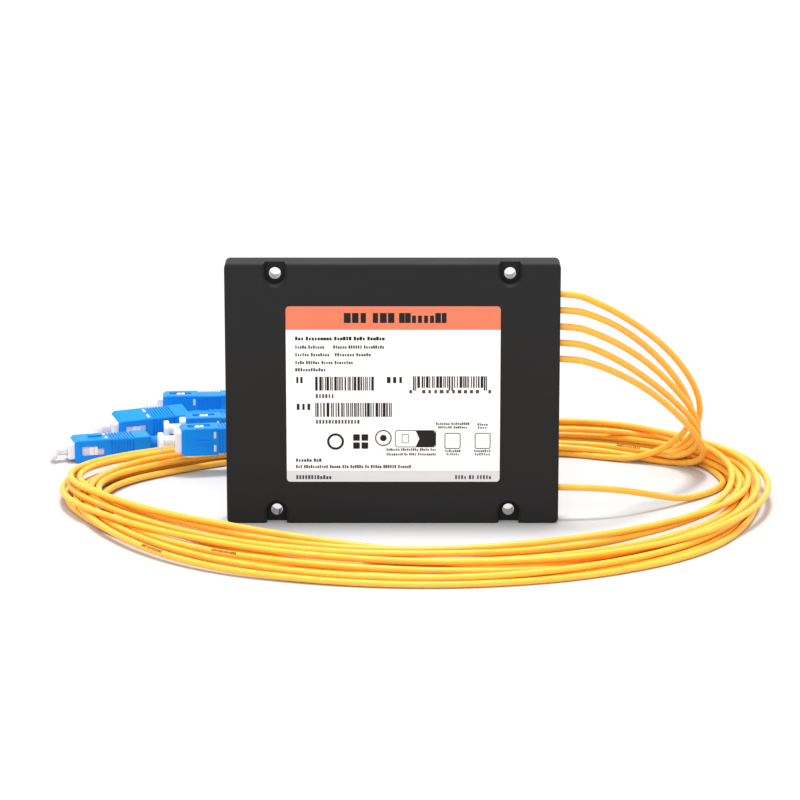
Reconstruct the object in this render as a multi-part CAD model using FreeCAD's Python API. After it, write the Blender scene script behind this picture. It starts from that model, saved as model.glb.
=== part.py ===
import FreeCAD, Part
import os, math
from FreeCAD import Vector as V

# Fibre splitter module: a flat black ABS box 100 x 80 x 10 mm that holds a planar
# lightwave splitter, with one input and five output patch leads of 2.0 mm round cable.
# Each lead ends in a push-pull SC plug with a dust cap.
# Frame: origin at the middle of the box's lower long edge face, +X along the long side,
# +Y from the label face to the back, +Z up. The box stands on its long narrow edge.
# Millimetres throughout.

# ---- box ----
BOX_L, BOX_T, BOX_H = 100.0, 10.0, 80.0
WALL = 1.8              # side walls of the tray
FLOOR = 1.6             # back wall of the tray
COVER_T = 1.8           # cover plate
CORNER_R = 1.5          # the box's four corners seen from the front
EDGE_R = 0.7            # soft edge round the cover
LIP_T, LIP_D = 1.2, 1.8 # cover lip inside the tray
FIT = 0.1               # lip clearance
HOLE_R = 1.75           # four mounting holes right through
HOLE_X, HOLE_Z = 35.0, 3.5
POCKET_W, POCKET_D = 6.1, 3.5   # U pockets in front of the holes
SKIRT = 1.2
EXIT_Z = [70.0, 65.0, 60.0, 55.0, 50.0, 10.0]   # five outputs, then the input
CABLE_D = 2.0
CABLE_X0 = 42.0         # the jackets end here, inside the clamps
# ---- splitter ----
CASE_X0, CASE_L, CASE_S, CASE_WALL, CASE_Z = -36.0, 40.0, 4.0, 0.4, 40.0
# ---- SC plug ----
GRIP_L, GRIP_W, GRIP_H = 25.0, 9.0, 7.4
FRAME_W, FRAME_H = 6.8, 5.4
BORE_W, BORE_H = 7.0, 5.6
FRONT = 2.0             # how far the frame stands out of the grip
BOOT_END = 46.0         # from the grip's front face to the boot's rear end
FERRULE_R = 1.25

os.makedirs("parts", exist_ok=True)
def save(name, shape):
    assert shape.isValid(), name
    shape.exportStep("parts/%s.step" % name)
    print("%-20s solids %d volume %.1f" % (name, len(shape.Solids), shape.Volume))

def box(x0, x1, y0, y1, z0, z1):
    return Part.makeBox(x1 - x0, y1 - y0, z1 - z0, V(x0, y0, z0))

def cyl(r, p, d, h):
    return Part.makeCylinder(r, h, V(*p), V(*d))

def rounded(x0, x1, z0, z1, y0, y1, r):
    b = box(x0, x1, y0, y1, z0, z1)
    e = [k for k in b.Edges if abs(k.Vertexes[0].X - k.Vertexes[1].X) < 1e-6 and abs(k.Vertexes[0].Z - k.Vertexes[1].Z) < 1e-6]
    return b.makeFillet(r, e)

def u_prism(cx, side, w, y0, y1, grow=0.0):
    """U shape round a mounting hole, open to the long edge (side -1 bottom, +1 top)."""
    zc = HOLE_Z if side < 0 else BOX_H - HOLE_Z
    r = w / 2.0
    if side < 0:
        b = box(cx - r, cx + r, y0, y1, -1.0, zc)
    else:
        b = box(cx - r, cx + r, y0, y1, zc, BOX_H + 1.0)
    return b.fuse(cyl(r, (cx, y0, zc), (0, 1, 0), y1 - y0)).removeSplitter()

def u_wire(cx, side, w, y):
    zc = HOLE_Z if side < 0 else BOX_H - HOLE_Z
    r = w / 2.0
    ze = -1.0 if side < 0 else BOX_H + 1.0
    s = 1 if side < 0 else -1
    a = Part.LineSegment(V(cx - r, y, ze), V(cx - r, y, zc)).toShape()
    c = Part.Arc(V(cx - r, y, zc), V(cx, y, zc + s * r), V(cx + r, y, zc)).toShape()
    b = Part.LineSegment(V(cx + r, y, zc), V(cx + r, y, ze)).toShape()
    d = Part.LineSegment(V(cx + r, y, ze), V(cx - r, y, ze)).toShape()
    return Part.Wire([a, c, b, d])

FRONT_Y, BACK_Y = -BOX_T / 2, BOX_T / 2
PART_Y = FRONT_Y + COVER_T            # where cover and tray meet
POCKET_Y = FRONT_Y + POCKET_D         # floor of the U pockets
CORNERS = [(sx * HOLE_X, sz) for sx in (-1, 1) for sz in (-1, 1)]
HX = BOX_L / 2

# ---- tray: back wall, side walls and four hole bosses ----
tray = rounded(-HX, HX, 0, BOX_H, PART_Y, BACK_Y, CORNER_R)
rim = [e for e in tray.Edges if all(abs(v.Y - BACK_Y) < 1e-6 for v in e.Vertexes)]
tray = tray.makeFillet(EDGE_R, rim)
tray = tray.cut(box(-HX + WALL, HX - WALL, PART_Y - 1, BACK_Y - FLOOR, WALL, BOX_H - WALL))
for cx, s in CORNERS:
    z0, z1 = (0.0, 8.6) if s < 0 else (BOX_H - 8.6, BOX_H)
    boss = box(cx - 5.4, cx + 5.4, POCKET_Y, BACK_Y - FLOOR / 2, max(z0, 0.9), min(z1, BOX_H - 0.9))
    tray = tray.fuse(boss)
for cx, s in CORNERS:
    tray = tray.cut(u_prism(cx, s, POCKET_W + 2 * SKIRT + 2 * FIT, PART_Y - 1, POCKET_Y))
    zc = HOLE_Z if s < 0 else BOX_H - HOLE_Z
    tray = tray.cut(cyl(HOLE_R, (cx, -10, zc), (0, 1, 0), 20))
for z in EXIT_Z:
    tray = tray.cut(cyl(CABLE_D / 2 + 0.05, (HX - 4, 0, z), (1, 0, 0), 8))
tray = tray.removeSplitter()
save("base_tray", tray)

# ---- cover: plate, lip inside the tray and the U skirts of the pockets ----
plate = rounded(-HX, HX, 0, BOX_H, FRONT_Y, PART_Y, CORNER_R)
rim = [e for e in plate.Edges if all(abs(v.Y - FRONT_Y) < 1e-6 for v in e.Vertexes)]
plate = plate.makeFillet(EDGE_R, rim)
li = WALL + FIT
lip = box(-HX + li, HX - li, PART_Y - 0.2, PART_Y + LIP_D, li, BOX_H - li)
lip = lip.cut(box(-HX + li + LIP_T, HX - li - LIP_T, PART_Y - 1, PART_Y + LIP_D + 1, li + LIP_T, BOX_H - li - LIP_T))
for cx, s in CORNERS:
    lip = lip.cut(u_prism(cx, s, 11.2, PART_Y, PART_Y + 9))
cover = plate.fuse(lip)
inner_edge = box(-HX, HX, PART_Y - 0.1, POCKET_Y + 1, 0, BOX_H)
for cx, s in CORNERS:
    sk = u_prism(cx, s, POCKET_W + 2 * SKIRT, PART_Y - 0.2, POCKET_Y).common(inner_edge.fuse(box(-HX, HX, PART_Y - 0.3, PART_Y, 0, BOX_H)))
    cover = cover.fuse(sk)
for cx, s in CORNERS:
    cover = cover.cut(u_prism(cx, s, POCKET_W, FRONT_Y - 1, POCKET_Y + 1))
    bevel = Part.makeLoft([u_wire(cx, s, POCKET_W + 1.4 + 0.2, FRONT_Y - 0.1), u_wire(cx, s, POCKET_W, FRONT_Y + 0.7)], True, True)
    cover = cover.cut(bevel)
cover = cover.removeSplitter()
save("top_cover", cover)

# ---- label: a paper sticker on the cover ----
lab = rounded(-31.8, 32.2, 13.1, 67.1, FRONT_Y - 0.12, FRONT_Y, 1.1)
save("label", lab)

# ---- splitter: steel tube with the bonded chip and fibre arrays ----
cx0, cx1, cs = CASE_X0, CASE_X0 + CASE_L, CASE_S / 2
ci = cs - CASE_WALL
case = box(cx0, cx1, -cs, cs, CASE_Z - cs, CASE_Z + cs)
case = case.makeFillet(0.35, [e for e in case.Edges if abs(e.Vertexes[0].X - e.Vertexes[1].X) > 1])
case = case.cut(box(cx0 - 1, cx1 + 1, -ci, ci, CASE_Z - ci, CASE_Z + ci))
save("splitter_case", case)
seals = [box(cx0, cx0 + 2.0, -ci, ci, CASE_Z - ci, CASE_Z + ci), box(cx1 - 2.0, cx1, -ci, ci, CASE_Z - ci, CASE_Z + ci)]
save("case_end_seals", Part.makeCompound(seals))
chip_y0 = ci - 2.2
save("splitter_chip", box(-20.0, -8.0, chip_y0, ci, CASE_Z - 1.1, CASE_Z + 1.1))
save("fibre_arrays", Part.makeCompound([box(-28.0, -20.0, chip_y0, ci, CASE_Z - 1.1, CASE_Z + 1.1),
                                        box(-8.0, 0.0, chip_y0, ci, CASE_Z - 1.1, CASE_Z + 1.1)]))
save("adhesive_pad", box(cx0 + 1, cx1 - 1, cs, BACK_Y - FLOOR, CASE_Z - 1.8, CASE_Z + 1.8))

# ---- cable clamps: blocks bonded to the tray that grip the six jackets ----
def clamp(z0, z1, zs):
    b = box(CABLE_X0 - 1.0, CABLE_X0 + 5.8, -1.3, BACK_Y - FLOOR, z0, z1)
    b = b.makeFillet(0.2, [e for e in b.Edges if all(abs(v.Y + 1.3) < 1e-6 for v in e.Vertexes)])
    for z in zs:
        b = b.cut(cyl(CABLE_D / 2 + 0.03, (CABLE_X0, 0, z), (1, 0, 0), 20))
        b = b.cut(cyl(0.5, (CABLE_X0 - 5, 0, z), (1, 0, 0), 20))
    return b
save("output_clamp", clamp(47.6, 72.4, EXIT_Z[:5]))
save("input_clamp", clamp(8.9, 12.4, EXIT_Z[5:]))

# ---- bare fibres inside the box ----
FIB_R = 0.2
def sweep(wire, r, start, direction):
    c = Part.Wire([Part.Circle(start, direction, r).toShape()])
    return wire.makePipeShell([c], True, True)
zi = EXIT_Z[5]
xl = cx0 - 2.0
BEND_R = 9.0
w = Part.Wire([Part.LineSegment(V(CABLE_X0, 0, zi), V(xl + 1, 0, zi)).toShape(),
               Part.Arc(V(xl + 1, 0, zi), V(xl + 1 - BEND_R * math.sin(math.pi / 4), 0, zi + BEND_R * (1 - math.cos(math.pi / 4))), V(xl + 1 - BEND_R, 0, zi + BEND_R)).toShape(),
               Part.LineSegment(V(xl + 1 - BEND_R, 0, zi + BEND_R), V(xl + 1 - BEND_R, 0, CASE_Z - BEND_R)).toShape(),
               Part.Arc(V(xl + 1 - BEND_R, 0, CASE_Z - BEND_R), V(xl + 1 - BEND_R * math.sin(math.pi / 4), 0, CASE_Z - BEND_R * (1 - math.cos(math.pi / 4))), V(xl + 1, 0, CASE_Z)).toShape(),
               Part.LineSegment(V(xl + 1, 0, CASE_Z), V(cx0, 0, CASE_Z)).toShape()])
save("input_fibre", sweep(w, FIB_R, V(CABLE_X0, 0, zi), V(-1, 0, 0)))
outs = []
for k in range(5):
    z1 = EXIT_Z[k]
    z0 = CASE_Z + (2 - k) * 0.5
    xa, xb = cx1, CABLE_X0
    h, L = z1 - z0, xb - xa - 4.0
    Rk = (L * L + h * h) / (4 * h)
    a = math.asin(L / 2 / Rk) if L / 2 / Rk <= 1 else math.pi / 2
    xs = xa + 1.0 + k * 0.4
    p0 = V(xs, 0, z0); pm = V(xs + L / 2, 0, z0 + h / 2); p1 = V(xs + L, 0, z1)
    q0 = V(xs + Rk * math.sin(a / 2), 0, z0 + Rk * (1 - math.cos(a / 2)))
    q1 = V(xs + L - Rk * math.sin(a / 2), 0, z1 - Rk * (1 - math.cos(a / 2)))
    wk = Part.Wire([Part.LineSegment(V(xa, 0, z0), p0).toShape(), Part.Arc(p0, q0, pm).toShape(),
                    Part.Arc(pm, q1, p1).toShape(), Part.LineSegment(p1, V(xb, 0, z1)).toShape()])
    outs.append(sweep(wk, FIB_R, V(xa, 0, z0), V(1, 0, 0)))
save("output_fibres", Part.makeCompound(outs))

# ---- cables outside the box ----
# Each free cable is a straight-and-arc tube from its clamp to the coil, the coil as one
# ring-shaped solid, and another tube from the coil to its plug.
DROPS = [
    [(42.0, 0.0, 70.00), (54.0, 0.0, 70.00), (60.0, 1.6, 67.35), (67.3, 6.5, 62.87), (75.7, 15.5, 55.88), (83.8, 28.0, 47.40), (90.2, 36.0, 39.03), (94.8, 43.0, 31.03), (97.4, 50.0, 22.87), (97.3, 56.9, 14.97), (94.7, 62.9, 8.18), (89.9, 66.7, 3.13), (84.2, 69.8, 1.02)],
    [(42.0, 0.0, 65.00), (54.0, 0.0, 65.00), (60.1, 1.6, 62.86), (67.0, 6.5, 58.94), (74.2, 15.5, 52.61), (81.2, 24.0, 45.11), (86.7, 31.0, 37.90), (91.0, 38.0, 30.68), (94.1, 45.0, 23.49), (94.7, 51.0, 17.81), (92.5, 57.0, 11.70), (87.8, 61.6, 6.32), (81.1, 64.2, 2.71), (73.8, 66.1, 1.02)],
    [(42.0, 0.0, 60.00), (54.0, 0.0, 60.00), (60.2, 1.6, 57.69), (67.4, 6.5, 53.42), (75.1, 15.5, 47.03), (82.0, 23.0, 40.11), (88.3, 31.0, 32.41), (93.4, 39.0, 24.89), (96.4, 46.0, 17.85), (96.7, 52.0, 12.08), (94.0, 58.0, 7.10), (89.9, 63.5, 3.35), (84.0, 67.4, 1.02)],
    [(42.0, 0.0, 55.00), (54.0, 0.0, 55.00), (60.2, 1.6, 52.86), (67.1, 6.5, 48.56), (74.4, 15.5, 42.32), (81.2, 22.0, 36.04), (87.4, 29.0, 29.44), (93.1, 37.0, 22.30), (96.4, 44.0, 15.84), (97.1, 50.0, 10.57), (94.7, 55.8, 5.97), (89.7, 60.6, 3.31), (84.4, 65.5, 3.46)],
    [(42.0, 0.0, 50.00), (54.0, 0.0, 50.00), (60.3, 1.6, 48.14), (67.6, 6.5, 44.08), (74.9, 15.5, 38.43), (81.2, 21.0, 33.06), (87.4, 28.0, 26.44), (93.0, 36.0, 19.27), (97.1, 44.0, 12.63), (99.2, 51.0, 6.89), (97.0, 57.0, 2.30), (91.2, 61.6, 1.02), (84.2, 64.4, 1.02)],
    [(42.0, 0.0, 10.00), (54.0, 0.0, 10.00), (64.1, 1.5, 9.10), (72.2, 4.5, 7.45), (80.6, 10.0, 4.61), (89.5, 17.0, 1.37), (97.3, 24.5, 1.03), (102.3, 31.5, 1.07)],
]
TAILS = [
    [(111.8, 50.6, 1.02), (104.1, 78.4, 1.02), (88.9, 97.8, 1.02), (64.9, 107.4, 1.02), (39.9, 112.3, 1.02), (14.0, 118.7, 1.02), (-12.0, 121.0, 1.68), (-29.9, 122.5, 3.12), (-41.8, 117.2, 4.52), (-53.6, 111.9, 4.52)],
    [(112.2, 49.3, 3.14), (103.4, 75.8, 2.77), (88.1, 92.9, 2.29), (67.0, 101.0, 2.31), (47.8, 103.3, 2.95), (34.9, 104.2, 3.75), (21.9, 105.1, 3.75)],
    [(110.6, 41.5, 3.62), (98.8, 64.5, 4.21), (85.9, 78.3, 5.51), (66.0, 82.3, 6.75), (43.0, 79.2, 7.57), (20.0, 71.6, 8.58), (-0.5, 63.8, 9.87), (-13.3, 61.6, 11.00), (-26.1, 59.3, 11.00)],
    [(107.5, 42.2, 1.02), (99.9, 67.3, 1.61), (85.3, 80.4, 2.87), (63.7, 88.0, 3.88), (37.9, 90.8, 4.71), (11.0, 90.3, 5.21), (-16.0, 88.6, 4.95), (-38.1, 87.1, 4.22), (-50.6, 83.7, 3.75), (-63.1, 80.1, 3.75)],
    [(110.0, 47.3, 1.02), (101.9, 72.5, 1.02), (87.0, 87.4, 1.02), (65.0, 94.9, 1.02), (42.0, 98.4, 1.20), (18.0, 99.7, 1.99), (-0.9, 99.2, 3.31), (-13.8, 97.7, 4.55), (-26.7, 96.4, 4.55)],
    [(113.5, 53.5, 1.02), (106.5, 81.9, 1.02), (91.8, 101.3, 1.02), (66.3, 111.3, 1.02), (38.0, 118.0, 1.19), (10.0, 123.8, 1.98), (-10.2, 126.8, 3.31), (-23.1, 125.8, 4.55), (-36.1, 124.9, 4.55)],
]
COIL_OUTER = [(118.6, 30), (116.5, 52), (111, 73), (98, 90), (78, 99.5), (46, 100), (12, 96.5), (-22, 91), (-54, 81), (-80, 68.5), (-99, 56), (-108, 37), (-107, 14), (-99, -6), (-87, -25), (-70, -45), (-50, -59), (-24, -70.6), (14, -73.8), (40, -71), (62, -63.5), (82, -52), (98, -36), (110, -17), (117, 5)]
COIL_INNER = [(98, 25), (96, 43), (86, 57), (72, 64), (54, 69), (28, 72.5), (0, 72), (-26, 66), (-46, 57.5), (-62, 45.5), (-72, 32), (-74.3, 18), (-71, 4), (-63, -7.5), (-53, -17.5), (-40, -27), (-20, -36), (14, -40.5), (44, -37.5), (64, -30), (79, -19), (90, -6), (96, 9)]

def tube(points, d, label):
    P = [V(*p) for p in points]
    n = len(P)
    runs = [(P[i + 1] - P[i]).Length for i in range(n - 1)]
    edges = []
    cur = P[0]
    radii = []
    for i in range(1, n - 1):
        a = (P[i - 1] - P[i]).normalize(); b = (P[i + 1] - P[i]).normalize()
        turn = math.pi - a.getAngle(b)
        t = 0.45 * min(runs[i - 1], runs[i])
        r = t / math.tan(turn / 2)
        radii.append((round(r, 1), round(math.degrees(turn))))
        pa = P[i] + a * t; pb = P[i] + b * t
        bis = (a + b).normalize()
        mid = P[i] + bis * (r / math.cos(turn / 2) - r)
        edges.append(Part.LineSegment(cur, pa).toShape())
        edges.append(Part.Arc(pa, mid, pb).toShape())
        cur = pb
    edges.append(Part.LineSegment(cur, P[-1]).toShape())
    w = Part.Wire(edges)
    s = sweep(w, d / 2, P[0], P[1] - P[0])
    want = math.pi * d * d / 4 * w.Length
    print("%s length %.1f volume ratio %.4f least radius %.1f runs %.0f-%.0f radii %s" % (label, w.Length, s.Volume / want, min(q[0] for q in radii), min(runs), max(runs), radii))
    return s

def biarc_loop(pts, z):
    """Closed smooth outline of pairs of tangent arcs through the given plan points."""
    n = len(pts)
    P = [V(x, y, 0) for x, y in pts]
    T = []
    for i in range(n):
        T.append((P[(i + 1) % n] - P[i - 1]).normalize())
    edges = []
    def arc(a, b, t):
        c = b - a
        if abs(c.normalize().dot(t)) > 0.99999:
            return Part.LineSegment(V(a.x, a.y, z), V(b.x, b.y, z)).toShape()
        c = b - a
        nrm = V(-t.y, t.x, 0)
        k = 2 * c.dot(nrm) / c.dot(c)
        r = 1.0 / k
        cen = a + nrm * r
        m = (a + b) * 0.5 - cen
        m = m.normalize() * abs(r)
        mid = cen + m
        return Part.Arc(V(a.x, a.y, z), V(mid.x, mid.y, z), V(b.x, b.y, z)).toShape()
    for i in range(n):
        p0, p1, t0, t1 = P[i], P[(i + 1) % n], T[i], T[(i + 1) % n]
        v = p1 - p0; t = t0 + t1
        den = 2 * (1 - t0.dot(t1))
        if den < 1e-7:
            d = v.dot(v) / (4 * v.dot(t1))
        else:
            vt = v.dot(t)
            d = (-vt + math.sqrt(vt * vt + den * v.dot(v))) / den
        q0 = p0 + t0 * d; q1 = p1 - t1 * d
        pm = (q0 + q1) * 0.5
        edges.append(arc(p0, pm, t0))
        tm = (q1 - q0).normalize()
        edges.append(arc(pm, p1, tm))
    return Part.Wire(edges)

COIL_H, COIL_HIGH = 6.3, 9.0
outer = biarc_loop(COIL_OUTER, 0.0)
inner = biarc_loop(COIL_INNER, 0.0)
coil = Part.Face(outer).extrude(V(0, 0, COIL_H)).cut(Part.Face(inner).extrude(V(0, 0, COIL_H)))
# the leads come down on the coil at its right rear, where it stands higher
zone = Part.makePolygon([V(150, 12, 0), V(150, 150, 0), V(18, 150, 0), V(30, 60, 0), V(80, 12, 0), V(150, 12, 0)])
high = Part.Face(outer).extrude(V(0, 0, COIL_HIGH)).cut(Part.Face(inner).extrude(V(0, 0, COIL_HIGH)))
high = high.common(Part.Face(zone).extrude(V(0, 0, COIL_HIGH)))
coil = coil.fuse(high).removeSplitter()
save("cable_coil", coil)
for k in range(6):
    name = "output_lead_%d" % (k + 1) if k < 5 else "input_lead"
    save(name, tube(DROPS[k], CABLE_D, name))
PLUG_OF = [2, 6, 4, 3, 5, 1]        # which plug each cable ends in
for k in range(6):
    name = "plug_lead_%d" % PLUG_OF[k]
    save(name, tube(TAILS[k], CABLE_D, name))

# ---- SC plugs ----
# Local frame: origin at the middle of the grip's front face, +X forward, Y across the
# wide faces, +Z out of the face with the key.
def lbox(x0, x1, w, h):
    return box(x0, x1, -w / 2, w / 2, -h / 2, h / 2)

def edges_along_x(s, tol=1e-6):
    return [e for e in s.Edges if abs(e.Vertexes[0].Y - e.Vertexes[1].Y) < tol and abs(e.Vertexes[0].Z - e.Vertexes[1].Z) < tol and abs(e.Vertexes[0].X - e.Vertexes[1].X) > 0.4]

def make_grip():
    front = lbox(-11.6, 0, GRIP_W, GRIP_H)
    front = front.makeFillet(0.5, edges_along_x(front))
    waist = lbox(-20.0, -11.0, GRIP_W - 0.9, GRIP_H - 0.8)
    waist = waist.makeFillet(0.5, edges_along_x(waist))
    rear = lbox(-GRIP_L, -19.4, GRIP_W, GRIP_H)
    rear = rear.makeFillet(0.6, edges_along_x(rear))
    # bevelled nose: the front corners taper on all four sides
    n0 = Part.makePolygon([V(0.01, -3.85, -3.05), V(0.01, 3.85, -3.05), V(0.01, 3.85, 3.05), V(0.01, -3.85, 3.05), V(0.01, -3.85, -3.05)])
    n1 = Part.makePolygon([V(-1.5, -4.6, -3.8), V(-1.5, 4.6, -3.8), V(-1.5, 4.6, 3.8), V(-1.5, -4.6, 3.8), V(-1.5, -4.6, -3.8)])
    nose = Part.makeLoft([n1, n0], True, True)
    front = front.common(nose.fuse(box(-30, -1.5, -6, 6, -6, 6)))
    r0 = Part.makePolygon([V(-GRIP_L, -4.1, -3.3), V(-GRIP_L, 4.1, -3.3), V(-GRIP_L, 4.1, 3.3), V(-GRIP_L, -4.1, 3.3), V(-GRIP_L, -4.1, -3.3)])
    r1 = Part.makePolygon([V(-GRIP_L + 0.8, -4.6, -3.8), V(-GRIP_L + 0.8, 4.6, -3.8), V(-GRIP_L + 0.8, 4.6, 3.8), V(-GRIP_L + 0.8, -4.6, 3.8), V(-GRIP_L + 0.8, -4.6, -3.8)])
    rear = rear.common(Part.makeLoft([r0, r1], True, True).fuse(box(-GRIP_L + 0.8, 0, -6, 6, -6, 6)))
    g = front.fuse(waist).fuse(rear)
    for i in range(8):
        x = -18.9 + i * 1.0
        rib = lbox(x, x + 0.5, GRIP_W - 0.3, GRIP_H - 0.2)
        rib = rib.makeFillet(0.45, edges_along_x(rib))
        g = g.fuse(rib)
    # key
    key = box(-9.4, -5.0, -0.45, 0.45, GRIP_H / 2 - 0.1, GRIP_H / 2 + 0.55)
    g = g.fuse(key)
    g = g.cut(lbox(-GRIP_L - 1, 1, BORE_W, BORE_H))
    # latch windows through both narrow sides, stepped at the rear
    for s in (-1, 1):
        y0, y1 = (2.5, 6.0) if s > 0 else (-6.0, -2.5)
        g = g.cut(box(-7.6, -2.3, y0, y1, -1.6, 1.6)).cut(box(-9.6, -7.5, y0, y1, -1.6, 0.7))
    return g.removeSplitter()

def make_frame():
    f = lbox(-17.0, FRONT, FRAME_W, FRAME_H)
    f = f.makeFillet(0.6, edges_along_x(f))
    n1 = [e for e in f.Edges if all(abs(v.X - FRONT) < 1e-6 for v in e.Vertexes)]
    f = f.makeChamfer(0.35, n1)
    f = f.cut(cyl(1.80, (-6.5, 0, 0), (1, 0, 0), 20))        # front bore, takes the cap's barrel
    f = f.cut(cyl(2.35, (-18, 0, 0), (1, 0, 0), 11.5))       # rear bore, takes the spring
    # latch ramps on the narrow sides, seen in the grip's windows; they stay inside them over the grip's whole travel
    for s in (-1, 1):
        y0, y1 = FRAME_W / 2 - 0.5, GRIP_W / 2 - 0.2
        w = Part.makePolygon([V(-4.5, s * y0, -1.4), V(-4.6, s * (y1 - 0.35), -1.4), V(-5.0, s * y1, -1.4), V(-7.4, s * y1, -1.4),
                              V(-7.4, s * y0, -1.4), V(-4.5, s * y0, -1.4)])
        r = Part.Face(w).extrude(V(0, 0, 2.8))
        f = f.fuse(r)
        f = f.cut(box(-6.35, -6.05, *sorted((s * (y1 - 0.3), s * 6.0)), -2, 2))
    return f.removeSplitter()

def make_cap():
    c = cyl(1.70, (-3.0, 0, 0), (1, 0, 0), 8.4)
    d = cyl(2.80, (5.4, 0, 0), (1, 0, 0), 1.8)
    d = d.makeFillet(0.45, [e for e in d.Edges if isinstance(e.Curve, Part.Circle)])
    c = c.fuse(d)
    c = c.cut(cyl(FERRULE_R + 0.06, (-4, 0, 0), (1, 0, 0), 8.4))
    return c.removeSplitter()

def make_ferrule():
    a = cyl(FERRULE_R, (-8.0, 0, 0), (1, 0, 0), 9.6)
    a = a.makeChamfer(0.25, [e for e in a.Edges if isinstance(e.Curve, Part.Circle) and abs(e.CenterOfMass.x - 1.6) < 1e-6])
    b = cyl(2.1, (-8.4, 0, 0), (1, 0, 0), 1.85)
    s = cyl(1.0, (-10.6, 0, 0), (1, 0, 0), 2.4)
    f = a.fuse(b).fuse(s).cut(cyl(0.3, (-12, 0, 0), (1, 0, 0), 20))
    return f.removeSplitter()

def make_boot():
    prof = [(-23.5, 2.45), (-30.0, 2.45), (-31.0, 2.15), (-BOOT_END + 0.4, 1.55), (-BOOT_END, 1.35)]
    pts = [V(x, 0, r) for x, r in prof]
    poly = Part.makePolygon([V(prof[0][0], 0, 0)] + pts + [V(-BOOT_END, 0, 0), V(prof[0][0], 0, 0)])
    b = Part.Face(poly).revolve(V(0, 0, 0), V(1, 0, 0), 360)
    for i in range(6):
        x = -33.2 - i * 1.9
        r = 2.15 + (x + 31.0) * 0.6 / 14.6 + 0.22
        b = b.fuse(cyl(r, (x - 0.8, 0, 0), (1, 0, 0), 0.8))
    b = b.cut(cyl(2.0, (-29.4, 0, 0), (1, 0, 0), 10))
    b = b.cut(cyl(1.06, (-50, 0, 0), (1, 0, 0), 25))
    return b.removeSplitter()

def make_spring():
    """Small compression spring between the ferrule's flange and the stop ring."""
    n, r, wr = 4, 1.55, 0.25
    x0, x1 = -14.2 + wr + 0.02, -8.4 - wr - 0.02
    h = Part.makeHelix((x1 - x0) / n, x1 - x0, r)
    q = [V(r + wr * math.cos(2 * math.pi * (i + 0.5) / 8), 0, wr * math.sin(2 * math.pi * (i + 0.5) / 8)) for i in range(8)]
    s = Part.Wire(h).makePipeShell([Part.makePolygon(q + [q[0]])], True, True)
    s.rotate(V(0, 0, 0), V(0, 1, 0), 90)
    s.translate(V(x0, 0, 0))
    return s

def make_stop():
    s = cyl(2.3, (-19.0, 0, 0), (1, 0, 0), 4.8).fuse(cyl(3.1, (-19.0, 0, 0), (1, 0, 0), 1.7).common(lbox(-19, -17.3, 6.4, 5.2)))
    s = s.fuse(cyl(1.55, (-23.4, 0, 0), (1, 0, 0), 5.0))
    s = s.cut(cyl(1.1, (-30, 0, 0), (1, 0, 0), 30))
    return s.removeSplitter()

def make_crimp():
    a = cyl(1.95, (-29.0, 0, 0), (1, 0, 0), 9.6).cut(cyl(1.6, (-23.6, 0, 0), (1, 0, 0), 9))
    a = a.fuse(cyl(0.95, (-42.0, 0, 0), (1, 0, 0), 13.2))
    return a.cut(cyl(0.5, (-50, 0, 0), (1, 0, 0), 60)).removeSplitter()

# nose point, turn about Z, roll of the key, for each plug; local +X points forward
PLUGS = {1: ((-78.0, 122.0, 4.55), 4, -90),
         2: ((-92.0, 94.8, 4.52), 24, 192),
         3: ((-103.5, 68.5, 3.75), 16, 0),
         4: ((-67.5, 52.0, 11.0), 10, 90),
         5: ((-68.5, 92.0, 4.55), 6, 90),
         6: ((-20.0, 108.0, 3.75), -4, 0)}
def place(shape, nose, yaw, roll):
    y, r = math.radians(yaw), math.radians(roll)
    f = V(-math.cos(y), -math.sin(y), 0)
    s = V(-math.sin(y), math.cos(y), 0)
    u = V(0, 0, 1)
    k = u * math.cos(r) - s * math.sin(r)
    w = k.cross(f)
    m = FreeCAD.Matrix(f.x, w.x, k.x, nose[0], f.y, w.y, k.y, nose[1], f.z, w.z, k.z, nose[2], 0, 0, 0, 1)
    out = shape.copy()
    out.Placement = FreeCAD.Placement(m).multiply(shape.Placement)
    return out

made = {"grip": make_grip(), "plug_frame": make_frame(), "dust_cap": make_cap(), "ferrule": make_ferrule(), "boot": make_boot()}
for nm, sh in made.items():
    print("local", nm, round(sh.Volume, 1), len(sh.Solids))
for n, (nose, yaw, roll) in PLUGS.items():
    for nm, sh in made.items():
        save("%s_%d" % (nm, n), place(sh, nose, yaw, roll))
for nm, sh in (("ferrule_springs", make_spring()), ("stop_rings", make_stop()), ("crimp_sleeves", make_crimp())):
    save(nm, Part.makeCompound([place(sh, *PLUGS[n]) for n in PLUGS]))
print("files", len(os.listdir("parts")))
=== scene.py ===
import bpy
import bmesh
import math
import random
from mathutils import Vector, Matrix


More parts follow.
